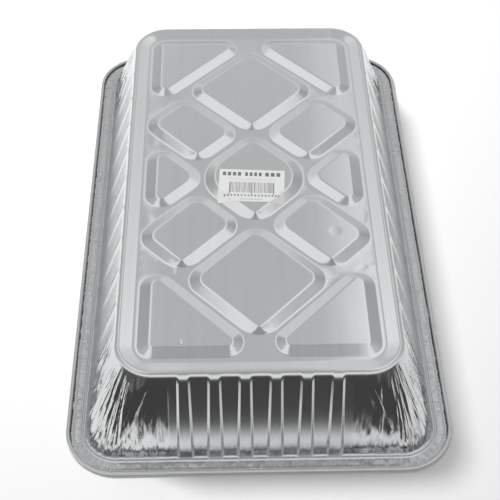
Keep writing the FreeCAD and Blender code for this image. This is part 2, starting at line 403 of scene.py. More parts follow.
def inside_distance(points, corners, radii):
    """Distance inwards of points from a convex outline with rounded corners, given anticlockwise."""
    corners = np.array(corners)
    ways = edge_ways(corners)
    found = np.full(len(points), 1.0)
    for corner, way in zip(corners, ways):
        found = np.minimum(found, (points - corner) @ np.array([-way[1], way[0]]))
    for k, (corner, radius) in enumerate(zip(corners, radii)):
        before, after = ways[k - 1], ways[k]
        from_centre = points - corner - way_inwards(before, after) * radius
        sector = (from_centre @ before > 0) & (from_centre @ after < 0)
        found = np.where(sector, radius - np.linalg.norm(from_centre, axis=1), found)
    return found


def bevel_distance(points, corners, tips, width):
    """Distance inwards over a panel's bevel, 0 at its foot and the width at its top."""
    foot = inside_distance(points, corners, [tip[0] for tip in tips])
    top = inside_distance(points, corners, [tip[1] for tip in tips]) - width
    return width * foot / (foot - top)


def rounded_outline(corners, tips, inset, spacing, width):
    """Points of a convex outline with rounded corners, moved in by the inset."""
    corners = np.array(corners)
    ways = edge_ways(corners)
    arcs = []
    for k, (corner, (radius, inner)) in enumerate(zip(corners, tips)):
        before, after = ways[k - 1], ways[k]
        left = radius + (inner - radius) * min(max(inset / width, 0), 1) - inset
        left = max(left, SMALLEST_RADIUS)
        centre = corner + way_inwards(before, after) * (inset + left)
        start = np.arctan2(-before[0], before[1])
        turn = np.arccos(np.clip(before @ after, -1, 1))
        steps = max(3, int(np.ceil(radius * turn / spacing)))
        angles = start + turn * np.arange(steps + 1) / steps
        arcs.append(centre + left * np.stack([np.cos(angles), np.sin(angles)], 1))
    points = []
    for k, arc in enumerate(arcs):
        points.extend(arc)
        gap = arcs[(k + 1) % len(arcs)][0] - arc[-1]
        steps = max(1, int(np.linalg.norm(gap) / (2.5 * spacing)))
        points.extend(arc[-1] + gap * step / steps for step in range(1, steps))
    return np.array(points)


def soft_ramp(distance, start, width, rounding):
    """0 before start and 1 after start + width, straight between, with both bends rounded."""
    def bend(value):
        held = np.clip(value, -rounding, rounding)
        return np.where(value > rounding, value, (held + rounding) ** 2 / (4 * rounding))
    return (bend(distance - start) - bend(distance - start - width)) / width


def box_corners(x, y):
    """Corners of a box round the middle, anticlockwise."""
    return [(x, -y), (x, y), (-x, y), (-x, -y)]


def diamond(middle, half):
    """Corners of a square that stands on its point."""
    return [(half, middle), (0, middle + half), (-half, middle), (0, middle - half)]


def flipped(corners, tips, flip_x, flip_y):
    """An outline in another quarter of the pan, still anticlockwise."""
    corners = [(-x if flip_x else x, -y if flip_y else y) for x, y in corners]
    return (corners[::-1], tips[::-1]) if flip_x != flip_y else (corners, tips)


def pan_panels(crest_x, crest_y):
    """Outlines and corner tips of all raised panels."""
    edge = CREST_LAND + CHANNEL_WIDTH + BORDER_WEB
    field_x, field_y = crest_x - edge, crest_y - edge
    near = CENTRE_HALF + CENTRE_WEB * sqrt(2)
    slant = WEB_WIDTH * sqrt(2)
    side, back = SIDE_TIP - slant, DIAMOND_PLACE - DIAMOND_HALF - slant
    reach = DIAMOND_PLACE + DIAMOND_HALF + slant
    middle = [((near + side) / 2, (near - side) / 2), ((MIDDLE_FAR + side) / 2, (MIDDLE_FAR - side) / 2),
              ((MIDDLE_FAR - back) / 2, (MIDDLE_FAR + back) / 2), ((near - back) / 2, (near + back) / 2)]
    corner = [(field_x, reach - field_x), (field_x, field_y), (reach - field_y, field_y)]
    wing = [(SIDE_TIP, 0), (field_x, SIDE_TIP - field_x), (field_x, field_x - SIDE_TIP)]
    panels = [(diamond(0, CENTRE_HALF),
               [CENTRE_SIDE_TIP, ROUND_TIP, CENTRE_SIDE_TIP, NEAR_TIP])]
    for flip_x in (False, True):
        panels.append(flipped(wing, [ROUND_TIP, SHARP_TIP, SHARP_TIP], flip_x, False))
        for flip_y in (False, True):
            tips = [ROUND_TIP, ROUND_TIP, NEAR_TIP, ROUND_TIP] if flip_y else \
                [NEAR_TIP, ROUND_TIP, ROUND_TIP, ROUND_TIP]
            panels.append(flipped(middle, tips, flip_x, flip_y))
            panels.append(flipped(corner, [SHARP_TIP, OUTER_TIP, SHARP_TIP], flip_x, flip_y))
    for flip in (1, -1):
        panels.append((diamond(flip * DIAMOND_PLACE, DIAMOND_HALF), [ROUND_TIP] * 3 + [NEAR_TIP]))
    return panels


class SheetForm:
    """The plain form of the pan's sheet, before its ribs, gathers and wrinkles."""

    def __init__(self, sizes):
        self.sizes = sizes
        self.top = PAN_HIGH.z
        self.foot_x = PAN_HIGH.x - FLANGE_WIDTH
        self.foot_y = PAN_HIGH.y - FLANGE_WIDTH
        self.tangent_z = self.top - EDGE_RADIUS * (1 - sin(WALL_LEAN))
        inset = self.tangent_z * tan(WALL_LEAN) + EDGE_RADIUS * cos(WALL_LEAN)
        self.crest_x = self.foot_x - inset
        self.crest_y = self.foot_y - inset
        self.panels = pan_panels(self.crest_x, self.crest_y)

    def bottom_height(self, points):
        """Height of the pressed bottom at points inside the crest."""
        sizes = self.sizes
        share = np.zeros(len(points))
        for corners, tips in self.panels:
            distance = bevel_distance(points, corners, tips, sizes.bevel_width)
            raised = soft_ramp(distance, 0, sizes.bevel_width, PANEL_ROUNDING)
            share = np.maximum(share, raised)
        channel = box_corners(self.crest_x - CREST_LAND, self.crest_y - CREST_LAND)
        distance = inside_distance(points, channel, [CREST_CORNER - CREST_LAND] * 4)
        share = np.maximum(share, 1 - soft_ramp(distance, 0, CHANNEL_WIDTH, CREST_ROUNDING))
        heights = self.top - sizes.press_depth * (1 - share)
        for x, y, long, wide, turn, depth in DENTS:
            a = radians(turn)
            dx, dy = points[:, 0] - x, points[:, 1] - y
            r = np.hypot((dx * cos(a) + dy * sin(a)) / long, (dy * cos(a) - dx * sin(a)) / wide)
            heights = heights - depth * np.exp(-r ** 4)
        return heights

    def rings(self):
        """Rings from the rolled edge to the web: run out from the foot, height, and shares.

        The shares are those of the ribs, the gathers and the rim's wrinkles. A ring of the
        pressed bottom has no height of its own.
        """
        foil = self.sizes.foil
        curl = self.sizes.curl_diameter / 2
        reach = curl - foil
        rings = []
        for angle in map(radians, CURL_ANGLES):
            run = FLANGE_WIDTH - curl + reach * cos(angle)
            rings.append(Ring(run, curl + reach * sin(angle), 0, 0, CURL_WRINKLES))
        for run, rise in FLANGE_RINGS:
            rings.append(Ring(run, foil + rise, 0, 0, FLANGE_WRINKLES))
        for step, rise in BEAD_RINGS:
            run = BEAD_PLACE + step * BEAD_WIDTH / 2
            rings.append(Ring(run, foil + rise * BEAD_HEIGHT, 0, 0, BEAD_WRINKLES))
        for run, rise, *shares in GUTTER_RINGS:
            rings.append(Ring(run, foil + rise, *shares))
        for height in WALL_HEIGHTS:
            fade = min(max((GATHER_END - height) / GATHER_FADE, 0.0), 1.0)
            pleat = min(1.0, FOOT_GATHER + height / GATHER_GROWTH) * fade
            rings.append(Ring(-height * tan(WALL_LEAN), height, 1.0, pleat, 0.0))
        wall_run = -self.tangent_z * tan(WALL_LEAN)
        for step, rib in enumerate(EDGE_RIB_SHARES):
            angle = WALL_LEAN + (pi / 2 - WALL_LEAN) * step / (len(EDGE_RIB_SHARES) - 1)
            run = wall_run - EDGE_RADIUS * (cos(WALL_LEAN) - cos(angle))
            rings.append(Ring(run, self.top - EDGE_RADIUS * (1 - sin(angle)), rib, 0.0, 0.0))
        crest_run = rings[-1].run
        channel_end = CREST_LAND + CHANNEL_WIDTH
        for depth in (CREST_LAND - CREST_ROUNDING, CREST_LAND, CREST_LAND + CREST_ROUNDING,
                      CREST_LAND + CHANNEL_WIDTH / 2, channel_end - CREST_ROUNDING,
                      channel_end, channel_end + CREST_ROUNDING):
            rings.append(Ring(crest_run - depth, None, 0, 0, 0.0))
        return rings

    def stations(self):
        """Places round the pan: quarter, fixed place, share of rib width, share of the plain end, angle."""
        found = []
        for quarter in range(4):
            count, pitch, side = wall_kind(self.sizes, quarter)
            half = [(-BEND_STEP, -1), (0.0, -1), (0.1 * side, -1), (0.9 * side, -1), (side, -1),
                    (side + BEND_STEP, -1)]
            across = half + [(0.0, 0)] + [(-place, 1) for place, _ in half[::-1]]
            zone = count * pitch / 2
            ends = END_STEPS[quarter % 2]
            land = [] if quarter % 2 else [LAND_STEP - pitch / 2]
            found += [Station(quarter, -zone, 0, k / ends - 1, 0) for k in range(ends)]
            for k in range(count):
                middle = (k - (count - 1) / 2) * pitch
                places = [(place, 0) for place in [-pitch / 2] + land] + across
                places += [(-place, 0) for place in land]
                found += [Station(quarter, middle + place, share, 0, 0) for place, share in places]
            found += [Station(quarter, zone, 0, k / ends, 0) for k in range(ends + 1)]
            found += [Station(quarter, 0, 0, 0, pi / 2 * k / CORNER_STEPS)
                      for k in range(1, CORNER_STEPS)]
        return found

    def fold_place(self, tilt, height):
        """Where the fold that passes here starts at the foot, counted from the corner's middle.

        Folds climb the steepest way: straight up a wall, and closer together in a corner.
        """
        closing = tan(WALL_LEAN) * sqrt(2) / FOOT_CORNER
        foot_tilt = 2 * atan(tan(tilt / 2) * exp(closing * height))
        if foot_tilt <= pi / 4:
            return FOOT_CORNER * foot_tilt
        entry = height - log(tan(pi / 8) / tan(tilt / 2)) / closing
        return FOOT_CORNER * pi / 4 + tan(WALL_LEAN) * entry

    def round_start(self, quarter):
        """Distance round the foot from the first wall's middle to a wall's middle."""
        return quarter * (self.foot_x + self.foot_y - 2 * FOOT_CORNER + FOOT_CORNER * pi / 2)

    def ring_points(self, stations, run, height, rib_width):
        """Points of one ring, the flat directions outwards, places along the walls and round the foot."""
        half_x, half_y = self.foot_x + run, self.foot_y + run
        share = min(max(height / self.tangent_z, 0.0), 1.0)
        corner = FOOT_CORNER + (CREST_CORNER + EDGE_RADIUS * cos(WALL_LEAN) - FOOT_CORNER) * share
        if run > 0:
            corner = FOOT_CORNER + run
        elif half_x < self.crest_x + EDGE_RADIUS * cos(WALL_LEAN):
            corner = CREST_CORNER + half_x - self.crest_x
        points, ways, places, rounds = [], [], [], []
        for quarter, fixed, rib_share, end_share, angle in stations:
            turn = quarter * pi / 2
            out, along = Vector((cos(turn), sin(turn))), Vector((-sin(turn), cos(turn)))
            reach, side = (half_x, half_y) if quarter % 2 == 0 else (half_y, half_x)
            if angle:
                way = out * cos(angle) + along * sin(angle)
                points.append(out * (reach - corner) + along * (side - corner) + way * corner)
                places.append(1.0)
                tilt = angle - pi / 4
                fold = self.fold_place(max(abs(tilt), 1e-6), 0.0 if run > 0 else height)
                foot_side = self.foot_y if quarter % 2 == 0 else self.foot_x
                middle = self.round_start(quarter) + foot_side - FOOT_CORNER + FOOT_CORNER * pi / 4
                rounds.append(middle + (fold if tilt > 0 else -fold))
            else:
                count, pitch, _ = wall_kind(self.sizes, quarter)
                place = fixed + rib_share * rib_width / 2
                place += end_share * (side - corner - count * pitch / 2)
                way = out
                points.append(out * reach + along * place)
                places.append(place)
                rounds.append(self.round_start(quarter) + place)
            ways.append(way)
        return np.array(points), np.array(ways), np.array(places), np.array(rounds)


def wall_kind(sizes, quarter):
    """Number of ribs, their pitch and the width of their sides on one side of the pan."""
    if quarter % 2 == 0:
        return LONG_RIBS, sizes.long_pitch, sizes.long_side
    return SHORT_RIBS, sizes.short_pitch, sizes.short_side


def bottom_points(form, border):
    """Points and edges that the pressed bottom is made through, the border's own points first."""
    points = list(border)
    edges = [(k, (k + 1) % len(border)) for k in range(len(border))]
    bevel = form.sizes.bevel_width
    insets = [-PANEL_ROUNDING, 0.0, PANEL_ROUNDING, PANEL_BEND, bevel - PANEL_BEND,
              bevel - PANEL_ROUNDING, bevel, bevel + PANEL_ROUNDING, bevel + PANEL_LAND]
    for corners, tips in form.panels:
        for inset in insets:
            outline = rounded_outline(corners, tips, inset, OUTLINE_SPACING, bevel)
            first = len(points)
            points.extend(outline)
            edges += [(first + k, first + (k + 1) % len(outline)) for k in range(len(outline))]
    channel_inset = CREST_LAND + CHANNEL_WIDTH
    channel_end = box_corners(form.crest_x - channel_inset, form.crest_y - channel_inset)
    end_radius = CREST_CORNER - channel_inset
    fields = [(GRID_SPACING, GRID_CLEARANCE, False, 0, 0, form.crest_x, form.crest_y)]
    for x, y, long, wide, _, _ in DENTS:
        reach = DENT_REACH * max(long, wide)
        step = max(DENT_SPACING, wide * DENT_SPACING_SHARE)
        fields.append((step, DENT_CLEARANCE, True, x, y, reach, reach))
    for step, near, on_bevels, x, y, reach_x, reach_y in fields:
        xs = np.arange(x - reach_x, x + reach_x, step)
        ys = np.arange(y - reach_y, y + reach_y, step * sqrt(3) / 2)
        grid = np.array([(a + (k % 2) * step / 2, b) for k, b in enumerate(ys) for a in xs])
        clear = inside_distance(grid, channel_end, [end_radius] * 4) > BORDER_CLEARANCE
        for corners, tips in form.panels:
            distance = bevel_distance(grid, corners, tips, bevel)
            for inset in insets:
                clear &= np.abs(distance - inset) > near
            if not on_bevels:
                clear &= (distance < 0) | (distance > bevel)
        points.extend(grid[clear])
    return points, edges


def ring_faces(starts, counts):
    """Faces between rings of points, where a ring may have half as many points as the one before."""
    faces = []
    for a, b, m, n in zip(starts, starts[1:], counts, counts[1:]):
        for k in range(n):
            after = (k + 1) % n
            if m == n:
                faces.append((a + k, a + after, b + after, b + k))
            else:
                two, end = a + 2 * k + 1, a + (2 * k + 2) % m
                faces += [(a + 2 * k, two, b + k), (two, b + after, b + k), (two, end, b + after)]
    return faces


def way_of_press(ring, number, way, curl_axis):
    """Where the press moves the sheet: into the curl, down on the bottom, up on the rim, else out."""
    if number < len(CURL_ANGLES):
        inwards = Vector((curl_axis[0] - ring.run, curl_axis[1] - ring.height)).normalized()
        return (*(way * inwards.x), inwards.y)
    if ring.height is None:
        return (0.0, 0.0, -1.0)
    if ring.rim and not ring.rib:
        return (0.0, 0.0, 1.0)
    return (*way, 0.0)


def bottom_faces(form, points, border_start):
    """Fills the last ring with the pressed bottom: adds its points and gives its faces."""
    border = [point[:2] for point in points[border_start:]]
    flat, edges = bottom_points(form, border)
    made, _, triangles, origins, _, _ = delaunay_2d_cdt(
        [Vector(place) for place in flat], edges, [list(range(len(border)))], 1, 1e-6)
    numbers = {}
    for k, sources in enumerate(origins):
        on_border = [source for source in sources if source < len(border)]
        if on_border:
            numbers[k] = border_start + on_border[0]
    new = [k for k in range(len(made)) if k not in numbers]
    for k, height in zip(new, form.bottom_height(np.array([made[k][:] for k in new]))):
        numbers[k] = len(points)
        points.append((*made[k], height))
    return [tuple(numbers[k] for k in triangle) for triangle in triangles]


def sheet_mesh(form):
    """Mesh of the sheet's outer face, with the attributes that the pressing tree reads."""
    sizes = form.sizes
    stations = form.stations()
    count = len(stations)
    rings = form.rings()
    values = {name: [] for name in ("along", "rib_pitch", "rib_shift", "rib_half", "rib_side", "rib_share",
                                    "gather_share", "rim_share", "ripple_share")}
    vectors = {name: [] for name in ("way", "round_place", "sheet_place")}
    points, starts, counts = [], [], []
    radius = form.round_start(4) / (2 * pi)
    kinds = [wall_kind(sizes, station.quarter) for station in stations]
    gather, in_ribs = [], []
    for station in stations:
        if station.angle:
            gather.append(1.0)
        elif station.end_share:
            gather.append(RIB_GATHER + (1 - RIB_GATHER) * abs(station.end_share))
        else:
            gather.append(0.0)
        plain = station.angle or station.end_share
        in_ribs.append(0.0 if plain else (LONG_RIB_SHARE, 1.0)[station.quarter % 2])
    curl_axis = (FLANGE_WIDTH - sizes.curl_diameter / 2, sizes.curl_diameter / 2)

    travelled, before = 0.0, None
    for number, ring in enumerate(rings):
        run, height = ring.run, ring.height
        share = 1.0 if height is None else min(max(height / form.tangent_z, 0.0), 1.0)
        width = sizes.rib_foot + (sizes.rib_top - sizes.rib_foot) * share
        flat, ways, along, rounds = form.ring_points(
            stations, run, form.tangent_z if height is None else height, width)
        turned = rounds / radius
        heights = form.bottom_height(flat) if height is None else np.full(count, height)
        kept = np.arange(count) if height is not None else np.arange(0, count, 2)
        level = float(heights.mean())
        travelled += 0.0 if before is None else hypot(run - before[0], level - before[1])
        before = (run, level)
        starts.append(len(points))
        counts.append(len(kept))
        for k in kept:
            points.append((*flat[k], heights[k]))
            values["along"].append(along[k])
            values["rib_pitch"].append(kinds[k][1])
            values["rib_shift"].append(0.5 * (kinds[k][0] % 2))
            values["rib_half"].append(width / 2)
            values["rib_side"].append(kinds[k][2])
            values["rib_share"].append(ring.rib * in_ribs[k])
            values["gather_share"].append(ring.pleat * gather[k])
            values["rim_share"].append(ring.rim)
            values["ripple_share"].append(1.0 if height is None else 0.0)
            vectors["round_place"].append((radius * cos(turned[k]), radius * sin(turned[k]), travelled))
            unrolled = flat[k] - ways[k] * (run - (PROFILE_REACH - travelled))
            vectors["sheet_place"].append((*unrolled, 0.0))
            vectors["way"].append(way_of_press(ring, number, ways[k], curl_axis))

    ring_count = len(points)
    faces = ring_faces(starts, counts) + bottom_faces(form, points, starts[-1])
    for x, y, _ in points[ring_count:]:
        for name in values:
            values[name].append(1.0 if name in ("ripple_share", "rib_pitch", "rib_side") else 0.0)
        vectors["way"].append((0.0, 0.0, -1.0))
        vectors["round_place"].append((radius, 0.0, 0.0))
        vectors["sheet_place"].append((x, y, 0.0))

    mesh = bpy.data.meshes.new("foil_sheet")
    mesh.from_pydata(points, [], faces)
    mesh.validate()
    for name, kept in values.items():
        mesh.attributes.new(name, "FLOAT", "POINT").data.foreach_set("value", np.array(kept, np.float32))
    for name, kept in vectors.items():
        mesh.attributes.new(name, "FLOAT_VECTOR", "POINT").data.foreach_set(
            "vector", np.array(kept, np.float32).ravel())
    mesh.shade_smooth()
    return mesh


def pressing_tree():
    """Geometry Nodes tree that presses ribs, gathers corners and wrinkles the rim of a foil sheet."""
    tree = bpy.data.node_groups.new("press_foil_sheet", "GeometryNodeTree")
    tree.interface.new_socket("Sheet", in_out="INPUT", socket_type="NodeSocketGeometry")
    for name in ("Rib Depth", "Pleat Depth", "Pleat Spacing", "Wrinkle Depth", "Wrinkle Spacing",
                 "Ripple Depth", "Ripple Size"):
        tree.interface.new_socket(name, in_out="INPUT", socket_type="NodeSocketFloat")
    tree.interface.new_socket("Seed", in_out="INPUT", socket_type="NodeSocketInt")
    tree.interface.new_socket("Finish", in_out="INPUT", socket_type="NodeSocketMaterial")
    tree.interface.new_socket("Sheet", in_out="OUTPUT", socket_type="NodeSocketGeometry")
    entry = tree.nodes.new("NodeGroupInput")
    given = {socket.name: Field(tree, socket) for socket in entry.outputs if socket.name}

    def stored(name, kind="FLOAT"):
        """What the sheet's mesh says at a point."""
        return node(tree, "GeometryNodeInputNamedAttribute", {"data_type": kind}, {"Name": name})

    def folds(spacing, stretch, seed_shift):
        """Creased cells, drawn out along the sheet's profile and wandering a little."""
        place = stored("round_place", "FLOAT_VECTOR")
        scaled = vector_maths(tree, "MULTIPLY", place, (1.0, 1.0, 1.0 / stretch))
        scaled = node(tree, "ShaderNodeVectorMath", {"operation": "SCALE"},
                      {0: scaled, "Scale": 1.0 / spacing})
        wander = noise(tree, place, WANDER_SCALE, 1.0, given["Seed"] + seed_shift, output=1)
        wander = vector_maths(tree, "SUBTRACT", wander, (0.5, 0.5, 0.5))
        wander = vector_maths(tree, "MULTIPLY", wander, WANDER_REACH)
        scaled = vector_maths(tree, "ADD", scaled, wander)
        return node(tree, "ShaderNodeTexVoronoi", {"voronoi_dimensions": "4D", "feature": "F1"},
                    {"Vector": scaled, "W": given["Seed"] + seed_shift, "Scale": 1.0})

    cell = stored("along") / stored("rib_pitch") + stored("rib_shift")
    from_middle = maths(tree, "ABSOLUTE", maths(tree, "FRACT", cell) - 0.5) * stored("rib_pitch")
    half = stored("rib_half")
    rib = ramp_to(tree, from_middle, half, half - stored("rib_side")) * given["Rib Depth"]
    rib = rib * stored("rib_share")

    spacing = given["Pleat Spacing"]
    long_folds = folds(spacing, LONG_FOLD_STRETCH, 0.3)
    short_folds = folds(spacing * 0.5, SHORT_FOLD_STRETCH, 5.7)
    gather = (1.35 - long_folds * 1.3 - short_folds * 0.8) * given["Pleat Depth"]
    gather = gather * stored("gather_share")

    wrinkle = 1.05 - folds(given["Wrinkle Spacing"], WRINKLE_STRETCH, 11.1)
    wrinkle = wrinkle * given["Wrinkle Depth"]
    wrinkle = maths(tree, "MAXIMUM", wrinkle * stored("rim_share"), 0.0)

    position = node(tree, "GeometryNodeInputPosition", {}, {})
    ripple = noise(tree, position, 1.0 / given["Ripple Size"], 1.5, given["Seed"] + 3.0)
    ripple = ripple * given["Ripple Depth"] * stored("ripple_share")

    way = stored("way", "FLOAT_VECTOR")
    offset = node(tree, "ShaderNodeVectorMath", {"operation": "SCALE"},
                  {0: way, "Scale": rib + gather + wrinkle + ripple})
    pressed = node(tree, "GeometryNodeSetPosition", {}, {"Geometry": given["Sheet"], "Offset": offset})
    real = node(tree, "GeometryNodeRealizeInstances", {}, {"Geometry": pressed})
    finished = node(tree, "GeometryNodeSetMaterial", {}, {"Geometry": real, "Material": given["Finish"]})
    leave = tree.nodes.new("NodeGroupOutput")
    tree.links.new(finished.socket, leave.inputs[0])
    return tree


def new_material(name):
    """An empty material and its tree."""
    material = bpy.data.materials.new(name)
    material.use_nodes = True
    material.node_tree.nodes.clear()
    return material, material.node_tree


def finish_material(tree, shader):
    """Links a shader to the material's output."""
    leave = tree.nodes.new("ShaderNodeOutputMaterial")
    tree.links.new(shader.socket, leave.inputs["Surface"])


def foil_material(finishes):
    """Bright rolled foil: rolling lines along the pan, drawing streaks, fine creases and painted shade at
    the rim.
    """
    material, tree = new_material("rolled_foil")

    def stored(name, output):
        """What the sheet's mesh says at a place."""
        return node(tree, "ShaderNodeAttribute", {"attribute_name": name}, {}, output)

    def streaky(spot, stretch, detail, seed):
        """Noise with a scale of its own along each axis."""
        return noise(tree, vector_maths(tree, "MULTIPLY", spot, stretch), 1.0, detail, seed)

    def cells(stretch):
        """Creased cells round the pan, with a scale of their own along each axis."""
        spot = vector_maths(tree, "MULTIPLY", stored("round_place", 1), stretch)
        return node(tree, "ShaderNodeTexVoronoi", {"feature": "F1"}, {"Vector": spot, "Scale": 1.0})

    place, round_place = stored("sheet_place", 1), stored("round_place", 1)
    rim, gather, bottom = (stored(name, 2) for name in ("rim_share", "gather_share", "ripple_share"))
    wall = 1.0 - bottom
    solid = node(tree, "ShaderNodeTexCoord", {}, {}, 3)
    across, height = (node(tree, "ShaderNodeSeparateXYZ", {}, {"Vector": solid}, k) for k in (0, 2))
    side_wall = ramp_to(tree, maths(tree, "ABSOLUTE", across), 0.12, 0.13)

    lines = streaky(place, (900.0, 7.0, 1.0), 3.0, 1.0) - 0.5
    bands = streaky(place, (120.0, 3.0, 1.0), 2.0, 4.0) - 0.5
    clouds = noise(tree, solid, 18.0, 3.0, 2.0) - 0.5
    tone = lines * 0.5 + bands * 0.6 + 0.5
    tone = maths(tree, "MAXIMUM", 0.0, maths(tree, "MINIMUM", tone, 1.0))
    base = Vector(finishes.foil_colour)
    colour = mixed(tree, tone, (*(base * 0.93), 1.0), (*(base * 1.05), 1.0))
    # Painted shade: the wrinkled rim, bead and curl are painted darker, standing in for the shade of their
    # crinkles
    colour = mixed(tree, rim, colour, (*(base * 0.74), 1.0))
    satin_wall = wall * (1.0 - gather) * (1.0 - rim) * (0.09 + side_wall * 0.10)
    rough = finishes.foil_roughness + clouds * 0.06 + bands * 0.03 + satin_wall

    patches = ramp_to(tree, noise(tree, round_place, 38.0, 2.0, 11.0), 0.36, 0.60)
    marks = cells((280.0, 280.0, 130.0)) * rim * (0.08 + patches * 0.60)
    creases = cells((450.0, 450.0, 90.0)) * gather * ramp_to(tree, height, 0.05, 0.0) * 0.45
    fine_folds = cells((300.0, 300.0, 26.0)) * gather * 0.58
    near_foot = ramp_to(tree, height, 0.045, 0.0, True) * 0.20 + ramp_to(tree, height, 0.020, 0.002) * 0.45
    streaks = (streaky(round_place, (900.0, 900.0, 60.0), 2.0, 3.0) - 0.5) * wall * near_foot
    ripples = (noise(tree, solid, 22.0, 1.5, 7.0) - 0.5) * bottom * 0.14
    grain = (noise(tree, solid, 1500.0, 2.0, 6.0) - 0.5) * 0.004
    relief = marks + creases + fine_folds + streaks + ripples + lines * 0.006 + grain
    bump = node(tree, "ShaderNodeBump", {}, {"Strength": 1.0, "Distance": 0.001, "Height": relief})
    shader = node(tree, "ShaderNodeBsdfPrincipled", {},
                  {"Base Color": colour, "Metallic": 1.0, "Roughness": rough, "Normal": bump})
    finish_material(tree, shader)
    return material


def label_material(finishes):
    """White paper with plain printed fields: rows of blocks and a field of bars."""
    material, tree = new_material("label_paper_print")
    solid = node(tree, "ShaderNodeTexCoord", {}, {}, 3)
    local = node(tree, "ShaderNodeMapping", {"vector_type": "TEXTURE"},
                 {"Vector": solid, "Location": (LABEL_X, LABEL_Y, 0.0),
                  "Rotation": (0.0, 0.0, LABEL_TURN)})
    x = node(tree, "ShaderNodeSeparateXYZ", {}, {"Vector": local}, 0) * 1000.0
    y = node(tree, "ShaderNodeSeparateXYZ", {}, {"Vector": local}, 1) * 1000.0

    def within(value, low, high):
        """1 between two places, with a print's soft edge."""
        rise = ramp_to(tree, value, low - PRINT_EDGE, low + PRINT_EDGE)
        return rise * ramp_to(tree, value, high + PRINT_EDGE, high - PRINT_EDGE)

    def row(low, high, pitch, fill, left, right, ink):
        """A row of equal blocks."""
        cell = maths(tree, "FRACT", (x - left) / pitch)
        blocks = within(cell * pitch, 0.1, pitch * fill)
        return blocks * within(x, left, right) * within(y, low, high) * ink

    blocks = sum(row(*sizes) for sizes in PRINT_ROWS)
    left, right, low, high = BAR_FIELD
    bar_place = x / BAR_PITCH + 60.0
    bar_width = node(tree, "ShaderNodeTexWhiteNoise", {"noise_dimensions": "1D"},
                     {"W": maths(tree, "FLOOR", bar_place)}) * 0.5 + 0.22
    bars = maths(tree, "LESS_THAN", maths(tree, "FRACT", bar_place), bar_width) * BAR_INK \
        * within(x, left, right) * within(y, low, high)
    long_lines = sum(within(x, start, end) for start, end in LONG_LINES) * within(y, LONG_LINE_FOOT, high)
    ink = maths(tree, "MINIMUM", blocks + bars + long_lines, 1.0)
    fibres = noise(tree, solid, 900.0, 4.0, 8.0)
    blotch = noise(tree, solid, 90.0, 2.0, 9.0)
    ink = ink * (0.74 + fibres * 0.2)
    paper = Vector(finishes.paper_colour)
    white = mixed(tree, blotch, (*(paper * 0.96), 1.0), (*(paper * 1.03), 1.0))
    colour = mixed(tree, ink, white, (*finishes.print_colour, 1.0))
    bump = node(tree, "ShaderNodeBump", {}, {"Strength": 0.3, "Distance": 0.00005, "Height": fibres})
    shader = node(tree, "ShaderNodeBsdfPrincipled", {},
                  {"Base Color": colour, "Roughness": 0.55 - ink * 0.12, "Normal": bump})
    finish_material(tree, shader)
    return material


def ray_share(tree, kind):
    """1 for one kind of ray, else 0."""
    return node(tree, "ShaderNodeLightPath", {}, {}, kind)


def seen_share(tree):
    """1 for what the camera sees straight, mirrored or through something clear, else 0."""
    seen = maths(tree, "MAXIMUM", ray_share(tree, "Is Camera Ray"), ray_share(tree, "Is Glossy Ray"))
    return maths(tree, "MAXIMUM", seen, ray_share(tree, "Is Transmission Ray"))


def floor_material(finishes):
    """Pale floor, white to the camera and the foil but with painted shade beside the pan in the foil; keeps
    the shadow, ends in a dark room.
    """
    material, tree = new_material("studio_floor")
    mirrored = ray_share(tree, "Is Glossy Ray")
    solid = node(tree, "ShaderNodeTexCoord", {}, {}, 3)
    fibre = noise(tree, solid, 300.0, 2.0, 5.0)
    pale = Vector(finishes.floor_colour)
    colour = mixed(tree, fibre, (*(pale * 0.99), 1.0), (*pale, 1.0))
    x, y = (node(tree, "ShaderNodeSeparateXYZ", {}, {"Vector": solid}, k) for k in range(2))
    beside = ramp_to(tree, maths(tree, "ABSOLUTE", x), *BESIDE_ACROSS) * ramp_to(tree, y, *BESIDE_BACK)
    painted_side_shade = mixed(tree, ramp_to(tree, x, -0.1, 0.1), (*(pale * PAINTED_SHADE_LEFT), 1.0),
                        (*(pale * PAINTED_SHADE_RIGHT), 1.0))
    # Painted shade: where the foil mirrors the floor beside the pan, the floor's colour is painted darker
    colour = mixed(tree, mirrored * beside, colour, painted_side_shade)
    far = ramp_to(tree, vector_maths(tree, "LENGTH", solid, output=1), FAR_START, FAR_FULL)
    glow = mixed(tree, seen_share(tree) * (far * FAR_GLOW + FLOOR_GLOW), (0.0, 0.0, 0.0, 1.0),
                 (1.0, 1.0, 1.0, 1.0))
    shown = node(tree, "ShaderNodeBsdfPrincipled", {},
                 {"Base Color": colour, "Roughness": 1.0, "Specular IOR Level": 0.0,
                  "Emission Color": glow, "Emission Strength": 1.0})
    beyond = ramp_to(tree, y, FLOOR_FRONT + FLOOR_FADE, FLOOR_FRONT, True) * mirrored
    room = node(tree, "ShaderNodeEmission", {}, {"Color": (1.0, 1.0, 0.97, 1.0), "Strength": ROOM_LIGHT})
    shader = node(tree, "ShaderNodeMixShader", {}, {0: beyond, 1: shown, 2: room})
    finish_material(tree, shader)
    return material


def light_along(tree, place, levels):
    """Brightness at a place, straight between the places and lights of a list."""
    first, last = levels[0][0], levels[-1][0]
    stops = [((at - first) / (last - first), (light, light, light, 1.0)) for at, light in levels]
    return node(tree, "ShaderNodeValToRGB", {"stops": stops}, {"Fac": (place - first) / (last - first)})


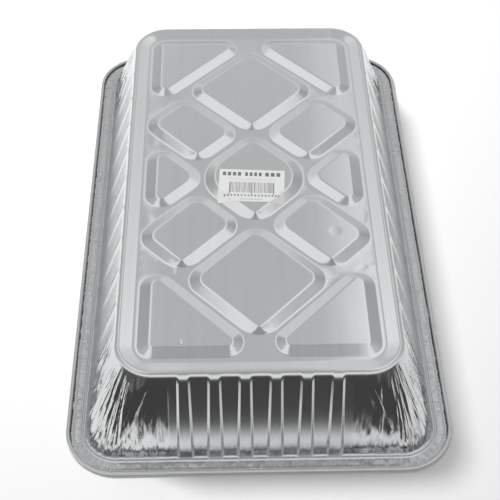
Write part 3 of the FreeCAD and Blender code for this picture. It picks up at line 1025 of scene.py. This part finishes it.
def tent_material(finishes):
    """Studio tent as the foil mirrors it: two long softboxes, a dimmer middle and darker sides."""
    material, tree = new_material("studio_tent")
    solid = node(tree, "ShaderNodeTexCoord", {}, {}, 3)
    across, back, up = (node(tree, "ShaderNodeSeparateXYZ", {}, {"Vector": solid}, k) for k in range(3))
    up = maths(tree, "MAXIMUM", up, 0.1 * TENT_RADIUS)
    across, back = maths(tree, "ABSOLUTE", across) / up, back / up
    inner_start, inner_slope = INNER_WIDENING
    outer_start, outer_slope = OUTER_WIDENING
    inner = across - maths(tree, "MAXIMUM", inner_start - back, 0.0) * inner_slope
    inner = ramp_to(tree, inner, *BOX_INNER)
    outer = across - maths(tree, "MAXIMUM", back - outer_start, 0.0) * outer_slope
    outer = ramp_to(tree, outer, *BOX_OUTER)
    middle, box, side = (light_along(tree, back, levels)
                         for levels in (MIDDLE_LIGHT, BOX_LIGHT, SIDE_LIGHT))
    colour = mixed(tree, outer, mixed(tree, inner, middle, box), side)
    glow = node(tree, "ShaderNodeEmission", {}, {"Color": colour, "Strength": finishes.tent_light})
    finish_material(tree, glow)
    return material


def add_object(name, mesh):
    """Puts a finished mesh into the scene."""
    made = bpy.data.objects.new(name, mesh)
    bpy.context.scene.collection.objects.link(made)
    return made


def baked(made):
    """The object's mesh with its modifiers worked in."""
    evaluated = made.evaluated_get(bpy.context.evaluated_depsgraph_get())
    mesh = bpy.data.meshes.new_from_object(evaluated)
    made.modifiers.clear()
    made.data = mesh
    return made


def label_mesh(form):
    """The label's sheet, laid on the pan's bottom and bridging its sharp bends."""
    columns, rows = LABEL_CELLS
    across = np.linspace(-LABEL_LENGTH / 2, LABEL_LENGTH / 2, columns + 1)
    along = np.linspace(-LABEL_WIDTH / 2, LABEL_WIDTH / 2, rows + 1)
    x, y = (grid.ravel() for grid in np.meshgrid(across, along))
    flat = np.stack([LABEL_X + x * cos(LABEL_TURN) - y * sin(LABEL_TURN),
                     LABEL_Y + x * sin(LABEL_TURN) + y * cos(LABEL_TURN)], 1)
    bends = [(LABEL_BEND, 0), (-LABEL_BEND, 0), (0, LABEL_BEND), (0, -LABEL_BEND)]
    under = form.bottom_height(flat)
    under = np.maximum(under, sum(form.bottom_height(flat + step) for step in bends) / 4)
    under = np.minimum(under, LABEL_LOW.z)
    thickness = LABEL_HIGH.z - LABEL_LOW.z
    points = [(*p, z + thickness) for p, z in zip(flat, under)] + [(*p, z) for p, z in zip(flat, under)]
    count, width = len(flat), columns + 1
    faces = []
    for row in range(rows):
        for k in range(row * width, row * width + columns):
            faces.append((k, k + 1, k + width + 1, k + width))
            faces.append((count + k, count + k + width, count + k + width + 1, count + k + 1))
    edge = [*range(columns), *range(columns, count - 1, width), *range(count - 1, count - width, -1),
            *range(count - width, 0, -width)]
    for a, b in zip(edge, edge[1:] + edge[:1]):
        faces.append((a, count + a, count + b, b))
    mesh = bpy.data.meshes.new("paper_label")
    mesh.from_pydata(points, [], faces)
    return mesh


def floor_mesh():
    """One square, just under the rim."""
    mesh = bpy.data.meshes.new("studio_floor")
    corners = [(x * FLOOR_REACH, y * FLOOR_REACH, FLOOR_LEVEL)
               for x, y in ((-1, -1), (1, -1), (1, 1), (-1, 1))]
    mesh.from_pydata(corners, [], [(0, 1, 2, 3)])
    return mesh


def tent_mesh():
    """Half a ball over the pan."""
    mesh = bpy.data.meshes.new("studio_tent")
    rows, columns, radius = TENT_ROWS, TENT_COLUMNS, TENT_RADIUS
    points = [(radius * cos(pi / 2 * i / rows) * cos(2 * pi * j / columns),
               radius * cos(pi / 2 * i / rows) * sin(2 * pi * j / columns),
               radius * sin(pi / 2 * i / rows)) for i in range(rows) for j in range(columns)]
    points.append((0.0, 0.0, radius))
    faces = ring_faces([i * columns for i in range(rows)], [columns] * rows)
    last = (rows - 1) * columns
    faces += [(last + j, last + (j + 1) % columns, rows * columns) for j in range(columns)]
    mesh.from_pydata(points, [], faces)
    return mesh


def add_lamp(name, place, size, share, lamp_light):
    """A round lamp aimed at the pan, as strong as gives the floor there its share of a plain level."""
    lamp = bpy.data.lights.new(name, "AREA")
    lamp.shape = "DISK"
    lamp.size = size
    distance = Vector(place).length
    fall = (place[2] / distance) * (size / 2) ** 2 / distance ** 2
    lamp.energy = lamp_light * share / fall * pi * pi * (size / 2) ** 2
    holder = bpy.data.objects.new(name, lamp)
    bpy.context.scene.collection.objects.link(holder)
    holder.location = place
    holder.rotation_euler = (-Vector(place)).to_track_quat("-Z", "Y").to_euler()
    holder.visible_camera = False
    holder.visible_glossy = False


def white_world():
    """White where it is seen or mirrored, and dim as a light on the pan and the floor."""
    world = bpy.data.worlds.new("studio_world")
    world.use_nodes = True
    tree = world.node_tree
    tree.nodes.clear()
    seen = seen_share(tree)
    strength = seen + (1.0 - seen) * WORLD_LIGHT
    white = node(tree, "ShaderNodeBackground", {}, {"Color": (1.0, 1.0, 1.0, 1.0), "Strength": strength})
    leave = tree.nodes.new("ShaderNodeOutputWorld")
    tree.links.new(white.socket, leave.inputs["Surface"])
    return world


def photo_camera():
    """The camera that saw the pan as the photo shows it."""
    lens = bpy.data.cameras.new("photo_camera")
    lens.lens, lens.sensor_width = CAMERA_LENS, CAMERA_SENSOR
    camera = bpy.data.objects.new("photo_camera", lens)
    bpy.context.scene.collection.objects.link(camera)
    camera.location = CAMERA_PLACE
    camera.rotation_euler = CAMERA_TURN
    return camera


class PAN_OT_press_sheet(bpy.types.Operator):
    """Press the pan from one foil sheet"""

    bl_idname = "roasting_pan.press_sheet"
    bl_label = "Press the pan"

    def execute(self, context):
        sizes, crinkles = context.scene.pan_sizes, context.scene.pan_crinkles
        finish = foil_material(context.scene.pan_finishes)
        pan = add_object("pan_sheet", sheet_mesh(SheetForm(sizes)))
        press = pan.modifiers.new("press", "NODES")
        press.node_group = pressing_tree()
        given = {"Rib Depth": sizes.rib_depth,
                 "Pleat Depth": crinkles.pleat_depth, "Pleat Spacing": crinkles.pleat_spacing,
                 "Wrinkle Depth": crinkles.rim_depth, "Wrinkle Spacing": crinkles.rim_spacing,
                 "Ripple Depth": crinkles.ripple_depth, "Ripple Size": crinkles.ripple_size,
                 "Seed": crinkles.seed, "Finish": finish}
        for item in press.node_group.interface.items_tree:
            if item.item_type == "SOCKET" and item.in_out == "INPUT" and item.name in given:
                press[item.identifier] = given[item.name]
        wall = pan.modifiers.new("foil", "SOLIDIFY")
        wall.thickness = sizes.foil
        wall.offset = -1
        baked(pan)
        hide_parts("pan")
        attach(pan, "root")
        return {"FINISHED"}


class PAN_OT_stick_label(bpy.types.Operator):
    """Stick the paper label on the middle panel"""

    bl_idname = "roasting_pan.stick_label"
    bl_label = "Stick the label"

    def execute(self, context):
        label = add_object("paper_label", label_mesh(SheetForm(context.scene.pan_sizes)))
        label.data.materials.append(label_material(context.scene.pan_finishes))
        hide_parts("label")
        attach(label, "root")
        return {"FINISHED"}


class PAN_OT_set_stage(bpy.types.Operator):
    """Set the pale floor, the studio lights and the camera"""

    bl_idname = "roasting_pan.set_stage"
    bl_label = "Set the stage"

    def execute(self, context):
        scene, finishes = context.scene, context.scene.pan_finishes
        floor = add_object("studio_floor", floor_mesh())
        floor.data.materials.append(floor_material(finishes))
        tent = add_object("studio_tent", tent_mesh())
        tent.data.materials.append(tent_material(finishes))
        tent.visible_camera = False
        tent.visible_diffuse = False
        tent.visible_shadow = False
        for lamp in LAMPS:
            add_lamp(*lamp, finishes.lamp_light)
        scene.world = white_world()
        scene.camera = photo_camera()
        scene.view_settings.view_transform = "Standard"
        return {"FINISHED"}


class PAN_PT_panel(bpy.types.Panel):
    """Sizes, finishes and steps of the roasting pan"""

    bl_idname = "PAN_PT_panel"
    bl_label = "Foil roasting pan"
    bl_space_type = "VIEW_3D"
    bl_region_type = "UI"
    bl_category = "Roasting pan"

    def draw(self, context):
        layout = self.layout
        for step in STEPS:
            layout.operator(step.bl_idname)
        for group in (context.scene.pan_sizes, context.scene.pan_crinkles, context.scene.pan_finishes):
            box = layout.box()
            for name in group.bl_rna.properties.keys():
                if name not in ("rna_type", "name"):
                    box.prop(group, name)


STEPS = (PAN_OT_press_sheet, PAN_OT_stick_label, PAN_OT_set_stage)
CLASSES = (PanSizes, CrinkleSizes, Finishes, *STEPS, PAN_PT_panel)


def register():
    for made in CLASSES:
        bpy.utils.register_class(made)
    bpy.types.Scene.pan_sizes = PointerProperty(type=PanSizes)
    bpy.types.Scene.pan_crinkles = PointerProperty(type=CrinkleSizes)
    bpy.types.Scene.pan_finishes = PointerProperty(type=Finishes)


def unregister():
    del bpy.types.Scene.pan_finishes
    del bpy.types.Scene.pan_crinkles
    del bpy.types.Scene.pan_sizes
    for made in reversed(CLASSES):
        bpy.utils.unregister_class(made)


def main():
    """Makes every piece and the stage."""
    register()
    bpy.ops.roasting_pan.press_sheet()
    bpy.ops.roasting_pan.stick_label()
    bpy.ops.roasting_pan.set_stage()


if __name__ == "__main__":
    main()
